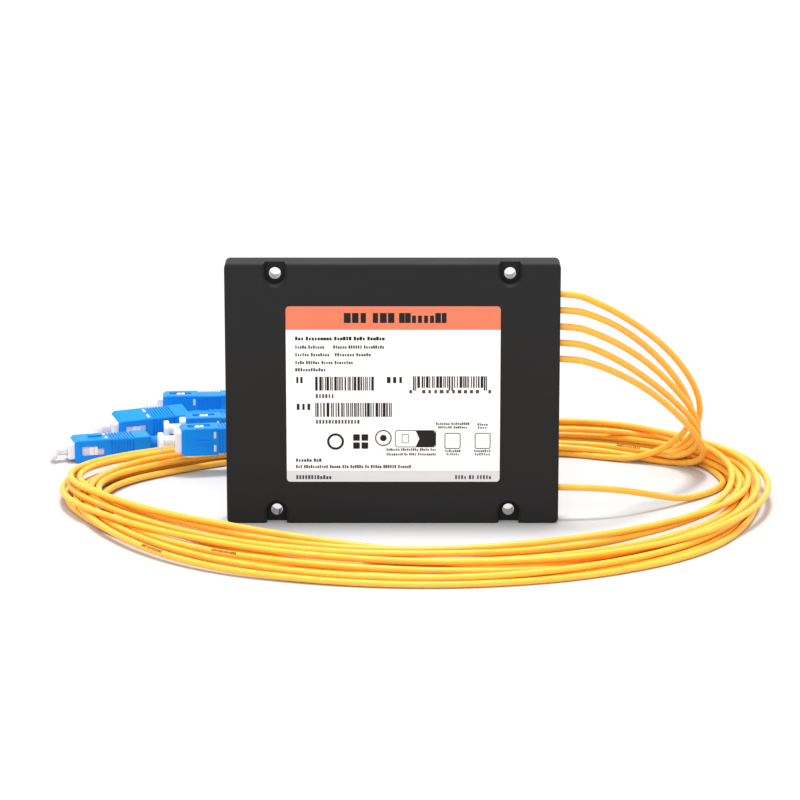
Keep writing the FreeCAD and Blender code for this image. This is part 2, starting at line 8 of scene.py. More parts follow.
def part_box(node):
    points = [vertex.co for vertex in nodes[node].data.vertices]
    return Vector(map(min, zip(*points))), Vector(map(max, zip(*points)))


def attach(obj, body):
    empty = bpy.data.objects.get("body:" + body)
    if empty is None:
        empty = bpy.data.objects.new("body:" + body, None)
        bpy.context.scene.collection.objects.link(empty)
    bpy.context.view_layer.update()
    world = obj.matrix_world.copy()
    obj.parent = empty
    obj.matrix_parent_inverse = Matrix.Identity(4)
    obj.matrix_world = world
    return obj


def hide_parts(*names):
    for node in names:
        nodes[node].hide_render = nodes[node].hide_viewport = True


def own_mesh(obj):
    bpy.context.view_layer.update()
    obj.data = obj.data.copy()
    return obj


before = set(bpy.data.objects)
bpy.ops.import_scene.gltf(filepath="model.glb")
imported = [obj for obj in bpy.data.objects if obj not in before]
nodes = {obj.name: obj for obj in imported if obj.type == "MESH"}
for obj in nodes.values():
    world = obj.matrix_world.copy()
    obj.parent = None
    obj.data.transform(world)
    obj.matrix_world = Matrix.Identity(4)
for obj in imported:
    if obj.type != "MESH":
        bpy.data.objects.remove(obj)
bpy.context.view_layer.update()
MM = 0.001
COL = bpy.context.scene.collection

# ------------------------------------------------------------------ camera
cam_data = bpy.data.cameras.new("camera")
cam = bpy.data.objects.new("camera", cam_data)
COL.objects.link(cam)
cam_data.sensor_width = 36.0
cam_data.lens = 150.35
cam_data.clip_start = 0.05
cam_data.clip_end = 50.0
aim = Vector((0.002236, -0.005, 0.03842))
elev, dist = math.radians(14.0), 1.0
cam.location = aim + Vector((0.0, -math.cos(elev), math.sin(elev))) * dist
cam.rotation_euler = (math.pi / 2 - elev, 0.0, 0.0)
bpy.context.scene.camera = cam

# ------------------------------------------------------------------ cords
# Control points in millimetres: five output leads from the top down, then the input.
CORDS = [
    [(42.0, 0.0, 70.00), (54.0, 0.0, 70.00), (60.0, 1.6, 67.35), (67.3, 6.5, 62.87), (75.7, 15.5, 55.88),
     (83.8, 28.0, 47.40), (90.2, 36.0, 39.03), (94.8, 43.0, 31.03), (97.4, 50.0, 22.87), (97.3, 56.9, 14.97),
     (94.7, 62.9, 8.18), (89.9, 66.7, 3.13), (84.2, 69.8, 1.02), (63.0, 80.0, 1.78), (25.0, 81.5, 3.02),
     (-4.8, 81.0, 4.43), (-35.6, 76.2, 5.20), (-78.2, 65.8, 4.79), (-107.0, 27.1, 4.78), (-81.0, -14.8, 5.41),
     (-50.8, -41.6, 5.60), (-17.3, -54.2, 5.50), (15.8, -54.5, 4.98), (47.9, -46.7, 4.25), (80.7, -28.0, 4.40),
     (108.5, 7.7, 5.34), (106.7, 55.2, 5.14), (71.0, 86.2, 4.03), (28.4, 88.3, 3.56), (-3.1, 86.8, 2.85),
     (-34.4, 80.2, 1.02), (-74.7, 66.5, 1.02), (-106.7, 28.2, 1.02), (-86.4, -17.3, 1.02), (-55.8, -47.8, 1.02),
     (-20.0, -63.3, 1.02), (16.8, -68.8, 1.02), (54.9, -61.8, 1.02), (90.4, -38.9, 1.02), (109.4, 1.9, 1.02),
     (111.8, 50.6, 1.02), (104.1, 78.4, 1.02), (88.9, 97.8, 1.02), (64.9, 107.4, 1.02), (39.9, 112.3, 1.02),
     (14.0, 118.7, 1.02), (-12.0, 121.0, 1.68), (-29.9, 122.5, 3.12), (-41.8, 117.2, 4.52), (-53.6, 111.9, 4.52)],
    [(42.0, 0.0, 65.00), (54.0, 0.0, 65.00), (60.1, 1.6, 62.86), (67.0, 6.5, 58.94), (74.2, 15.5, 52.61),
     (81.2, 24.0, 45.11), (86.7, 31.0, 37.90), (91.0, 38.0, 30.68), (94.1, 45.0, 23.49), (94.7, 51.0, 17.81),
     (92.5, 57.0, 11.70), (87.8, 61.6, 6.32), (81.1, 64.2, 2.71), (73.8, 66.1, 1.02), (53.0, 74.9, 1.02),
     (19.9, 76.8, 1.02), (-7.7, 76.9, 1.35), (-37.7, 70.8, 3.16), (-79.3, 56.9, 4.62), (-98.9, 16.2, 4.87),
     (-72.9, -21.3, 4.14), (-44.3, -45.2, 2.80), (-12.7, -58.3, 1.78), (21.2, -60.5, 1.73), (57.1, -53.0, 2.78),
     (92.7, -30.7, 4.43), (114.9, 10.2, 5.93), (110.2, 58.2, 6.78), (74.2, 89.2, 6.51), (29.1, 87.0, 5.45),
     (-2.7, 83.4, 3.43), (-32.9, 75.6, 1.84), (-68.0, 59.8, 1.81), (-99.8, 25.0, 3.10), (-85.0, -18.3, 3.14),
     (-57.4, -49.5, 2.74), (-22.0, -66.3, 2.52), (16.1, -71.5, 2.72), (54.7, -62.3, 3.07), (89.2, -38.0, 3.03),
     (110.8, 1.6, 3.06), (112.2, 49.3, 3.14), (103.4, 75.8, 2.77), (88.1, 92.9, 2.29), (67.0, 101.0, 2.31),
     (47.8, 103.3, 2.95), (34.9, 104.2, 3.75), (21.9, 105.1, 3.75)],
    [(42.0, 0.0, 60.00), (54.0, 0.0, 60.00), (60.2, 1.6, 57.69), (67.4, 6.5, 53.42), (75.1, 15.5, 47.03),
     (82.0, 23.0, 40.11), (88.3, 31.0, 32.41), (93.4, 39.0, 24.89), (96.4, 46.0, 17.85), (96.7, 52.0, 12.08),
     (94.0, 58.0, 7.10), (89.9, 63.5, 3.35), (84.0, 67.4, 1.02), (63.6, 77.8, 1.02), (26.7, 79.8, 1.37),
     (-1.4, 79.1, 2.37), (-29.9, 74.4, 3.77), (-73.5, 65.9, 5.26), (-107.9, 27.5, 7.28), (-78.1, -15.1, 8.10),
     (-44.1, -35.5, 7.38), (-15.1, -44.7, 5.33), (12.8, -48.8, 3.44), (43.7, -45.5, 2.67), (75.5, -28.9, 3.31),
     (102.9, 3.6, 5.07), (107.9, 49.2, 7.15), (79.4, 84.7, 8.40), (35.9, 91.0, 7.81), (1.2, 87.2, 5.61),
     (-29.7, 78.8, 3.26), (-63.8, 64.6, 1.55), (-98.4, 33.9, 1.02), (-87.5, -9.5, 1.02), (-57.6, -38.0, 1.02),
     (-23.8, -49.6, 1.02), (7.2, -54.0, 1.02), (40.8, -53.9, 1.29), (79.1, -40.7, 2.55), (107.1, -5.3, 3.53),
     (110.6, 41.5, 3.62), (98.8, 64.5, 4.21), (85.9, 78.3, 5.51), (66.0, 82.3, 6.75), (43.0, 79.2, 7.57),
     (20.0, 71.6, 8.58), (-0.5, 63.8, 9.87), (-13.3, 61.6, 11.00), (-26.1, 59.3, 11.00)],
    [(42.0, 0.0, 55.00), (54.0, 0.0, 55.00), (60.2, 1.6, 52.86), (67.1, 6.5, 48.56), (74.4, 15.5, 42.32),
     (81.2, 22.0, 36.04), (87.4, 29.0, 29.44), (93.1, 37.0, 22.30), (96.4, 44.0, 15.84), (97.1, 50.0, 10.57),
     (94.7, 55.8, 5.97), (89.7, 60.6, 3.31), (84.4, 65.5, 3.46), (63.5, 75.4, 3.90), (28.0, 77.2, 3.51),
     (0.6, 76.5, 3.09), (-27.5, 71.1, 3.04), (-64.8, 60.2, 3.55), (-97.6, 26.2, 4.20), (-75.4, -14.6, 4.06),
     (-44.9, -36.6, 3.32), (-17.0, -49.0, 2.94), (12.7, -56.7, 3.16), (48.1, -54.1, 3.99), (83.8, -34.3, 4.08),
     (106.9, 3.0, 3.24), (107.6, 48.5, 3.15), (80.1, 84.7, 2.34), (34.8, 88.3, 1.39), (1.2, 83.7, 1.02),
     (-28.0, 75.4, 1.02), (-57.9, 60.6, 1.02), (-92.0, 32.7, 1.50), (-86.3, -10.2, 2.96), (-60.4, -43.4, 3.59),
     (-24.7, -58.8, 3.32), (10.2, -62.8, 2.43), (45.8, -58.7, 1.48), (82.3, -41.2, 1.02), (103.8, -3.7, 1.02),
     (107.5, 42.2, 1.02), (99.9, 67.3, 1.61), (85.3, 80.4, 2.87), (63.7, 88.0, 3.88), (37.9, 90.8, 4.71),
     (11.0, 90.3, 5.21), (-16.0, 88.6, 4.95), (-38.1, 87.1, 4.22), (-50.6, 83.7, 3.75), (-63.1, 80.1, 3.75)],
    [(42.0, 0.0, 50.00), (54.0, 0.0, 50.00), (60.3, 1.6, 48.14), (67.6, 6.5, 44.08), (74.9, 15.5, 38.43),
     (81.2, 21.0, 33.06), (87.4, 28.0, 26.44), (93.0, 36.0, 19.27), (97.1, 44.0, 12.63), (99.2, 51.0, 6.89),
     (97.0, 57.0, 2.30), (91.2, 61.6, 1.02), (84.2, 64.4, 1.02), (66.5, 72.1, 2.75), (29.5, 74.8, 4.37),
     (1.8, 75.9, 5.19), (-27.4, 72.9, 5.06), (-67.8, 65.1, 5.08), (-104.7, 31.6, 6.42), (-79.5, -11.3, 6.66),
     (-47.3, -34.5, 5.22), (-17.9, -46.7, 4.60), (11.4, -50.4, 4.97), (42.3, -46.5, 5.91), (76.5, -32.0, 6.58),
     (107.4, 0.5, 6.05), (113.3, 48.7, 4.65), (84.7, 88.0, 3.30), (36.3, 90.8, 1.60), (1.2, 85.9, 1.02),
     (-30.3, 79.2, 1.02), (-66.5, 66.0, 1.02), (-101.9, 33.3, 1.02), (-88.4, -11.4, 1.02), (-58.9, -40.7, 1.02),
     (-26.0, -57.1, 1.02), (9.4, -65.9, 1.02), (49.0, -61.8, 1.02), (87.1, -39.8, 1.02), (106.9, 0.6, 1.02),
     (110.0, 47.3, 1.02), (101.9, 72.5, 1.02), (87.0, 87.4, 1.02), (65.0, 94.9, 1.02), (42.0, 98.4, 1.20),
     (18.0, 99.7, 1.99), (-0.9, 99.2, 3.31), (-13.8, 97.7, 4.55), (-26.7, 96.4, 4.55)],
    [(42.0, 0.0, 10.00), (54.0, 0.0, 10.00), (64.1, 1.5, 9.10), (72.2, 4.5, 7.45), (80.6, 10.0, 4.61),
     (89.5, 17.0, 1.37), (97.3, 24.5, 1.03), (102.3, 31.5, 1.07), (104.9, 41.5, 1.02), (98.1, 66.9, 1.02),
     (63.4, 96.3, 1.02), (19.3, 93.9, 1.02), (-14.8, 88.6, 1.02), (-48.1, 78.1, 1.46), (-93.7, 60.5, 2.69),
     (-106.5, 14.2, 4.37), (-77.9, -25.0, 5.41), (-44.5, -47.2, 4.94), (-11.1, -56.7, 4.20), (22.6, -59.8, 4.01),
     (61.1, -54.2, 4.47), (98.5, -29.2, 5.25), (119.5, 15.3, 5.90), (108.9, 64.4, 6.12), (69.0, 92.8, 5.08),
     (25.1, 92.5, 3.54), (-8.2, 89.3, 2.91), (-39.9, 79.9, 3.06), (-73.8, 61.4, 3.00), (-102.1, 24.2, 3.24),
     (-87.5, -20.1, 2.78), (-59.4, -53.7, 1.83), (-20.5, -68.9, 1.17), (19.1, -72.3, 1.02), (58.9, -62.7, 1.02),
     (95.0, -37.2, 1.02), (112.3, 5.2, 1.02), (113.5, 53.5, 1.02), (106.5, 81.9, 1.02), (91.8, 101.3, 1.02),
     (66.3, 111.3, 1.02), (38.0, 118.0, 1.19), (10.0, 123.8, 1.98), (-10.2, 126.8, 3.31), (-23.1, 125.8, 4.55),
     (-36.1, 124.9, 4.55)]
]
PLUG_OF = [2, 6, 4, 3, 5, 1]       # the plug that each cord ends in
LEAD_NODES = ["output_lead_1", "output_lead_2", "output_lead_3", "output_lead_4", "output_lead_5", "input_lead"]


def nurbs(name, pts, diameter=None):
    cu = bpy.data.curves.new(name, "CURVE")
    cu.dimensions = "3D"
    sp = cu.splines.new("NURBS")
    sp.points.add(len(pts) - 1)
    for p, q in zip(sp.points, pts):
        p.co = (q[0] * MM, q[1] * MM, q[2] * MM, 1.0)
        p.radius = diameter / 2 if diameter else 0.001   # the tube's own radius, which keeps the curve's box true
    sp.order_u = 3
    sp.use_endpoint_u = True
    cu.resolution_u = 10
    if diameter:
        cu.bevel_depth = 1.0
        cu.bevel_resolution = 5
        cu.use_fill_caps = True
    ob = bpy.data.objects.new(name, cu)
    COL.objects.link(ob)
    return ob


def centreline(name, pts):
    """Points along a cord's spline, read from the curve itself."""
    ob = nurbs(name, pts)
    me = bpy.data.meshes.new_from_object(ob)
    out = [v.co.copy() for v in me.vertices]
    bpy.data.meshes.remove(me)
    cu = ob.data
    bpy.data.objects.remove(ob)
    bpy.data.curves.remove(cu)
    return out


cords, lines = [], []
for i, pts in enumerate(CORDS):
    ob = nurbs("cord_%d" % (i + 1), pts, 0.002)
    n = PLUG_OF[i]
    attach(ob, "module")
    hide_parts(LEAD_NODES[i], "plug_lead_%d" % n, "cable_coil")
    line = centreline("line_%d" % i, pts)
    cords.append(ob)
    lines.append(line)


# ------------------------------------------------------------------ materials
def tree(name):
    m = bpy.data.materials.new(name)
    m.use_nodes = True
    nt = m.node_tree
    nt.nodes.clear()
    out = nt.nodes.new("ShaderNodeOutputMaterial")
    b = nt.nodes.new("ShaderNodeBsdfPrincipled")
    nt.links.new(b.outputs["BSDF"], out.inputs["Surface"])
    return m, nt, b


def coords(nt, scale=1.0):
    tc = nt.nodes.new("ShaderNodeTexCoord")
    mp = nt.nodes.new("ShaderNodeMapping")
    mp.inputs["Scale"].default_value = (scale, scale, scale) if not isinstance(scale, tuple) else scale
    nt.links.new(tc.outputs["Object"], mp.inputs["Vector"])
    return mp.outputs["Vector"]


def noise_tex(nt, vec, scale, detail=3.0, rough=0.5):
    n = nt.nodes.new("ShaderNodeTexNoise")
    n.inputs["Scale"].default_value = scale
    n.inputs["Detail"].default_value = detail
    n.inputs["Roughness"].default_value = rough
    nt.links.new(vec, n.inputs["Vector"])
    return n.outputs["Fac"]


def ramp(nt, fac, stops):
    r = nt.nodes.new("ShaderNodeValToRGB")
    while len(r.color_ramp.elements) > 1:
        r.color_ramp.elements.remove(r.color_ramp.elements[-1])
    r.color_ramp.elements[0].position = stops[0][0]
    r.color_ramp.elements[0].color = (*stops[0][1], 1)
    for pos, c in stops[1:]:
        e = r.color_ramp.elements.new(pos)
        e.color = (*c, 1)
    nt.links.new(fac, r.inputs["Fac"])
    return r.outputs["Color"]


def span(nt, fac, lo, hi, a=0.3, b=0.7):
    m = nt.nodes.new("ShaderNodeMapRange")
    m.inputs["From Min"].default_value = a
    m.inputs["From Max"].default_value = b
    m.inputs["To Min"].default_value = lo
    m.inputs["To Max"].default_value = hi
    nt.links.new(fac, m.inputs["Value"])
    return m.outputs["Result"]


def bump(nt, height, strength, distance, bsdf):
    bp = nt.nodes.new("ShaderNodeBump")
    bp.inputs["Strength"].default_value = strength
    bp.inputs["Distance"].default_value = distance
    nt.links.new(height, bp.inputs["Height"])
    nt.links.new(bp.outputs["Normal"], bsdf.inputs["Normal"])
    return bp


def around(c, k):
    return tuple(max(0.0, min(1.0, x * k)) for x in c)


def plastic(name, colour, rough=0.35, vary=0.05, rough_vary=0.06, grain=2500.0, grain_h=0.00001, strength=0.3,
            broad=60.0, specular=0.5, coat=0.0, sss=0.0, sss_r=(1, 1, 1), sss_scale=0.001, transmission=0.0, ior=1.46, metallic=0.0):
    m, nt, b = tree(name)
    v = coords(nt)
    n1 = noise_tex(nt, v, broad, 3)
    n2 = noise_tex(nt, v, grain, 2)
    c = ramp(nt, n1, [(0.3, around(colour, 1 - vary)), (0.7, around(colour, 1 + vary))])
    nt.links.new(c, b.inputs["Base Color"])
    nt.links.new(span(nt, n1, max(0.02, rough - rough_vary), rough + rough_vary), b.inputs["Roughness"])
    bump(nt, n2, strength, grain_h, b)
    b.inputs["Specular IOR Level"].default_value = specular
    b.inputs["IOR"].default_value = ior
    b.inputs["Metallic"].default_value = metallic
    if coat:
        b.inputs["Coat Weight"].default_value = coat
        b.inputs["Coat Roughness"].default_value = 0.15
    if sss:
        b.inputs["Subsurface Weight"].default_value = sss
        b.inputs["Subsurface Radius"].default_value = sss_r
        b.inputs["Subsurface Scale"].default_value = sss_scale
    if transmission:
        b.inputs["Transmission Weight"].default_value = transmission
    return m


M = {}
M["abs"] = plastic("black_abs", (0.0130, 0.0130, 0.0135), rough=0.57, vary=0.05, rough_vary=0.03, grain=2600.0,
                   grain_h=0.000012, strength=0.35, broad=45.0, specular=0.20)
M["abs_inner"] = plastic("black_abs_tray", (0.0095, 0.0095, 0.0100), rough=0.57, vary=0.05, rough_vary=0.03, grain=2600.0,
                         grain_h=0.000012, strength=0.35, broad=45.0, specular=0.20)
M["bore"] = plastic("black_abs_bore", (0.016, 0.016, 0.017), rough=0.14, vary=0.05, rough_vary=0.03, grain=2600.0,
                    grain_h=0.000006, strength=0.2, broad=300.0, specular=0.9)
M["label"] = plastic("label_paper", (0.90, 0.90, 0.90), rough=0.38, vary=0.012, rough_vary=0.05, grain=4200.0,
                     grain_h=0.000004, strength=0.25, broad=120.0, specular=0.4)
M["header"] = plastic("label_header", (0.745, 0.190, 0.098), rough=0.36, vary=0.015, rough_vary=0.04, grain=4200.0,
                      grain_h=0.000004, strength=0.2, broad=150.0, specular=0.3)
M["footer"] = plastic("label_footer", (0.66, 0.66, 0.675), rough=0.38, vary=0.012, rough_vary=0.04, grain=4200.0,
                      grain_h=0.000004, strength=0.2, broad=150.0, specular=0.3)
M["ink"] = plastic("print_ink", (0.008, 0.008, 0.009), rough=0.4, vary=0.15, rough_vary=0.06, grain=5000.0,
                   grain_h=0.000003, strength=0.2, broad=900.0, specular=0.25)
M["ink_grey"] = plastic("print_ink_grey", (0.05, 0.05, 0.055), rough=0.42, vary=0.15, rough_vary=0.06, grain=5000.0,
                        grain_h=0.000003, strength=0.2, broad=900.0, specular=0.25)
M["jacket"] = plastic("cable_jacket", (0.98, 0.465, 0.040), rough=0.40, vary=0.05, rough_vary=0.05, grain=1900.0,
                      grain_h=0.00001, strength=0.25, broad=220.0, specular=0.5, sss=0.20, sss_r=(1.0, 0.50, 0.10), sss_scale=0.0007)
M["blue"] = plastic("grip_blue", (0.010, 0.240, 0.790), rough=0.36, vary=0.04, rough_vary=0.05, grain=2300.0,
                    grain_h=0.000008, strength=0.25, broad=160.0, specular=0.07)
M["boot"] = plastic("boot_blue", (0.010, 0.215, 0.720), rough=0.46, vary=0.05, rough_vary=0.05, grain=2000.0,
                    grain_h=0.00001, strength=0.3, broad=160.0, specular=0.07)
M["frame"] = plastic("frame_white", (0.80, 0.78, 0.85), rough=0.30, vary=0.02, rough_vary=0.05, grain=2600.0,
                     grain_h=0.000006, strength=0.2, broad=200.0, specular=0.45, sss=0.3, sss_r=(1, 1, 1), sss_scale=0.001)
M["cap"] = plastic("cap_plastic", (0.94, 0.90, 0.96), rough=0.28, vary=0.02, rough_vary=0.05, grain=2600.0,
                   grain_h=0.000006, strength=0.2, broad=200.0, specular=0.5, sss=0.5, sss_r=(1.0, 0.95, 1.0), sss_scale=0.0015,
                   transmission=0.15, ior=1.5)
M["zirconia"] = plastic("zirconia", (0.85, 0.84, 0.80), rough=0.10, vary=0.02, rough_vary=0.03, broad=300.0, specular=0.6)
M["mark"] = plastic("index_mark", (0.62, 0.64, 0.70), rough=0.45, vary=0.10, rough_vary=0.05, grain=5000.0,
                    grain_h=0.00001, strength=0.4, broad=1500.0, specular=0.3)
M["steel"] = plastic("steel", (0.55, 0.55, 0.57), rough=0.28, vary=0.06, rough_vary=0.08, grain=900.0,
                     grain_h=0.000008, strength=0.3, broad=400.0, metallic=1.0)
M["aluminium"] = plastic("aluminium", (0.72, 0.72, 0.74), rough=0.33, vary=0.05, rough_vary=0.08, grain=900.0,
                         grain_h=0.000008, strength=0.3, broad=400.0, metallic=1.0)
M["silicone"] = plastic("silicone", (0.65, 0.64, 0.62), rough=0.5, vary=0.05, broad=500.0)
M["silica"] = plastic("silica", (0.86, 0.9, 0.92), rough=0.06, vary=0.02, rough_vary=0.03, broad=500.0, transmission=0.8, ior=1.46)
M["foam"] = plastic("foam_pad", (0.12, 0.12, 0.125), rough=0.85, vary=0.2, grain=1500.0, grain_h=0.00005, strength=0.6, broad=900.0)
M["clamp"] = plastic("clamp_plastic", (0.10, 0.10, 0.105), rough=0.5, vary=0.06, broad=200.0)

NODE_MAT = {"base_tray": "abs_inner", "top_cover": "abs", "label": "label", "splitter_case": "steel", "case_end_seals": "silicone",
            "splitter_chip": "silica", "fibre_arrays": "silica", "adhesive_pad": "foam", "output_clamp": "clamp",
            "input_clamp": "clamp", "input_fibre": "silica", "output_fibres": "silica", "ferrule_springs": "steel",
            "stop_rings": "steel", "crimp_sleeves": "aluminium", "cable_coil": "jacket"}
for nm in LEAD_NODES:
    NODE_MAT[nm] = "jacket"
for n in range(1, 7):
    NODE_MAT.update({"grip_%d" % n: "blue", "plug_frame_%d" % n: "frame", "dust_cap_%d" % n: "cap", "ferrule_%d" % n: "zirconia",
                     "boot_%d" % n: "boot", "plug_lead_%d" % n: "jacket"})
for nm, ob in nodes.items():
    m = M[NODE_MAT[nm]]
    ob.data.materials.clear()
    ob.data.materials.append(m)
    for p in ob.data.polygons:
        p.material_index = 0
for ob in cords:
    ob.data.materials.append(M["jacket"])
# the walls of the four mounting holes are drawn glossier than the grained faces
HOLES = [(sx * 0.035, z) for sx in (-1, 1) for z in (0.0035, 0.0765)]
for nm in ("base_tray", "top_cover"):
    ob = nodes[nm]
    ob.data.materials.append(M["bore"])
    mw = ob.matrix_world
    nw = mw.to_3x3()
    for p in ob.data.polygons:
        c = mw @ p.center
        n = (nw @ p.normal).normalized()
        if abs(n.y) < 0.2 and min(math.hypot(c.x - hx, c.z - hz) for hx, hz in HOLES) < 0.0019:
            p.material_index = 1


# ------------------------------------------------------------------ flat print
class Sheet:
    """Thin closed slabs standing a few hundredths of a millimetre proud of a flat face."""

    def __init__(self, name, to_world, thick=0.014):
        self.name, self.to_world, self.thick, self.bm = name, to_world, thick, bmesh.new()

    def poly(self, pts, holes=()):
        vs = [self.bm.verts.new(self.to_world(x, y, self.thick)) for x, y in pts]
        vb = [self.bm.verts.new(self.to_world(x, y, 0.0)) for x, y in pts]
        n = len(pts)
        self.bm.faces.new(vs)
        self.bm.faces.new(list(reversed(vb)))
        for i in range(n):
            self.bm.faces.new((vs[i], vb[i], vb[(i + 1) % n], vs[(i + 1) % n]))

    def rect(self, x0, y0, x1, y1):
        self.poly([(x0, y0), (x1, y0), (x1, y1), (x0, y1)])

    def rrect(self, x0, y0, x1, y1, r, corners=(1, 1, 1, 1)):
        self.poly(rounded_pts(x0, y0, x1, y1, r, corners))

    def ring(self, outer, inner):
        """Band between two outlines with the same number of points."""
        n = len(outer)
        t = self.thick
        a = [self.bm.verts.new(self.to_world(x, y, t)) for x, y in outer]
        b = [self.bm.verts.new(self.to_world(x, y, t)) for x, y in inner]
        c = [self.bm.verts.new(self.to_world(x, y, 0.0)) for x, y in outer]
        d = [self.bm.verts.new(self.to_world(x, y, 0.0)) for x, y in inner]
        for i in range(n):
            j = (i + 1) % n
            self.bm.faces.new((a[i], a[j], b[j], b[i]))
            self.bm.faces.new((c[j], c[i], d[i], d[j]))
            self.bm.faces.new((a[j], a[i], c[i], c[j]))
            self.bm.faces.new((b[i], b[j], d[j], d[i]))

    def make(self, material, body):
        bmesh.ops.recalc_face_normals(self.bm, faces=self.bm.faces)
        me = bpy.data.meshes.new(self.name)
        self.bm.to_mesh(me)
        self.bm.free()
        ob = bpy.data.objects.new(self.name, me)
        COL.objects.link(ob)
        me.materials.append(material)
        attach(ob, body)
        return ob


def rounded_pts(x0, y0, x1, y1, r, corners=(1, 1, 1, 1), n=6):
    """Rectangle outline; corners are top-left, top-right, bottom-right, bottom-left, y down."""
    out = []
    spec = [(x0 + r, y0 + r, 180, corners[0], (x0, y0)), (x1 - r, y0 + r, 270, corners[1], (x1, y0)),
            (x1 - r, y1 - r, 0, corners[2], (x1, y1)), (x0 + r, y1 - r, 90, corners[3], (x0, y1))]
    for cx, cy, a0, on, sharp in spec:
        if on and r > 0:
            for k in range(n + 1):
                a = math.radians(a0 + 90.0 * k / n)
                out.append((cx + r * math.cos(a), cy + r * math.sin(a)))
        else:
            out.append(sharp)
    return out


def circle_pts(cx, cy, r, n=40):
    return [(cx + r * math.cos(2 * math.pi * k / n), cy + r * math.sin(2 * math.pi * k / n)) for k in range(n)]


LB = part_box("label")
LX0, LZ1, LY = LB[0][0] / MM, LB[1][2] / MM, LB[0][1] / MM
LW, LH = (LB[1][0] - LB[0][0]) / MM, (LB[1][2] - LB[0][2]) / MM


def label_pt(x, y, t):
    return ((LX0 + x) * MM, (LY - t) * MM, (LZ1 - y) * MM)


head = Sheet("label_header_band", label_pt, 0.010)
head.poly(rounded_pts(0.0, 0.0, LW, 7.15, 1.1, (1, 1, 0, 0)))
head.make(M["header"], "module")
foot = Sheet("label_footer_band", label_pt, 0.010)
foot.poly(rounded_pts(0.0, LH - 3.45, LW, LH, 1.1, (0, 0, 1, 1)))
foot.make(M["footer"], "module")

ink = Sheet("label_print", label_pt, 0.018)
grey = Sheet("label_fine_print", label_pt, 0.018)
rnd = random.Random(7)


def words(sheet, x0, x1, ymid, height, groups, weight=0.72, tall=0.35):
    """A line of print shown as a row of small plain blocks, one row of blocks a word."""
    total = sum(groups) + 0.62 * (len(groups) - 1)
    pitch = (x1 - x0) / total
    x = x0
    for g in groups:
        for k in range(g):
            w = pitch * weight * rnd.choice((0.78, 0.95, 1.0, 1.12))
            full = k == 0 or rnd.random() < tall
            h = height if full else height * 0.74
            yb = ymid + height / 2
            xc = x + pitch / 2
            sheet.rect(xc - w / 2, yb - h, xc + w / 2, yb)
            x += pitch
        x += pitch * 0.62


def bars(x0, x1, y0, y1, n, seed, guards=()):
    """A field of upright bars of uneven width."""
    r = random.Random(seed)
    units = [r.choice((2, 2, 3, 5)) if i % 2 == 0 else r.choice((1, 1, 2, 3)) for i in range(2 * n - 1)]
    k = (x1 - x0) / sum(units)
    x = x0
    for i, u in enumerate(units):
        if i % 2 == 0:
            ink.rect(x, y0, x + u * k * 0.98, y1 + (0.85 if i // 2 in guards else 0.0))
        x += u * k


def px(v):
    return (v - 300.0) / 14.98


def py(v):
    return (v - 248.0) / 14.53


# title, drawn as three rows of plain heavy blocks
words(ink, px(557), px(664), py(299), 3.05, (3,), 0.86, 1.0)
words(ink, px(683), px(788), py(299), 3.05, (3,), 0.86, 1.0)
words(ink, px(805), px(1020), py(299), 3.05, (8,), 0.84, 0.4)
# small lines
words(ink, px(340), px(742), py(390), 1.12, (3, 9, 6, 4, 6), 0.82)
words(grey, px(340), px(472), py(428), 1.0, (5, 7), 0.74)
words(grey, px(510), px(740), py(428), 1.0, (6, 6, 9), 0.74)
words(grey, px(340), px(495), py(462), 1.0, (6, 8), 0.74)
words(grey, px(517), px(680), py(462), 1.0, (8, 6), 0.74)
words(grey, px(340), px(600), py(497), 1.0, (4, 6, 5, 8), 0.74)
words(grey, px(340), px(478), py(529), 1.0, (12,), 0.74)
# three short headings beside the bar fields
words(ink, px(341), px(378), py(575), 1.9, (2,), 0.50, 1.0)
words(ink, px(746), px(826), py(575), 1.9, (3,), 0.55, 1.0)
words(ink, px(341), px(413), py(695), 1.9, (3,), 0.55, 1.0)
bars(px(430), px(693), py(560), py(622), 24, 11)
words(grey, px(430), px(515), py(647), 1.25, (6,), 0.6, 1.0)
bars(px(868), px(1200), py(558), py(610), 30, 23, guards=(0, 1, 14, 15, 28, 29))
words(grey, px(908), px(1165), py(627), 1.05, (1, 1, 1, 1, 1, 1, 1, 1, 1, 1), 0.9, 1.0)
words(grey, px(852), px(864), py(627), 1.05, (1,), 0.9, 1.0)
words(grey, px(1206), px(1218), py(627), 1.05, (1,), 0.9, 1.0)
bars(px(430), px(773), py(677), py(740), 31, 37)
words(grey, px(430), px(630), py(762), 1.2, (14,), 0.6, 1.0)
# row of plain shapes
cy = py(851)
ink.ring(circle_pts(px(520), cy, 2.55), circle_pts(px(520), cy, 1.85))
for dx in (-1, 1):
    for dy in (-1, 1):
        ink.rrect(px(633) + dx * 1.25 - 1.0, cy + dy * 1.25 - 1.0, px(633) + dx * 1.25 + 1.0, cy + dy * 1.25 + 1.0, 0.25)
cc = (px(735), py(835))
ink.ring(circle_pts(cc[0], cc[1], 2.5), circle_pts(cc[0], cc[1], 2.15))
ink.poly(circle_pts(cc[0], cc[1], 1.0, 24))
a, b, c, d = px(787), py(800), px(972), py(877)
ink.ring(rounded_pts(a, b, c, d, 0.9), rounded_pts(a + 0.22, b + 0.22, c - 0.22, d - 0.22, 0.68))
ink.poly([(px(880), b + 0.1), (c - 0.9, b + 0.1), (c - 0.1, b + 0.9), (c - 0.1, d - 0.9), (c - 0.9, d - 0.1), (px(880), d - 0.1), (px(897), (b + d) / 2)])
ink.ring(rounded_pts(px(818), py(818), px(850), py(858), 0.2), rounded_pts(px(818) + 0.18, py(818) + 0.18, px(850) - 0.18, py(858) - 0.18, 0.1))
words(grey, px(748), px(972), py(887), 0.8, (7, 9, 5, 3), 0.74)
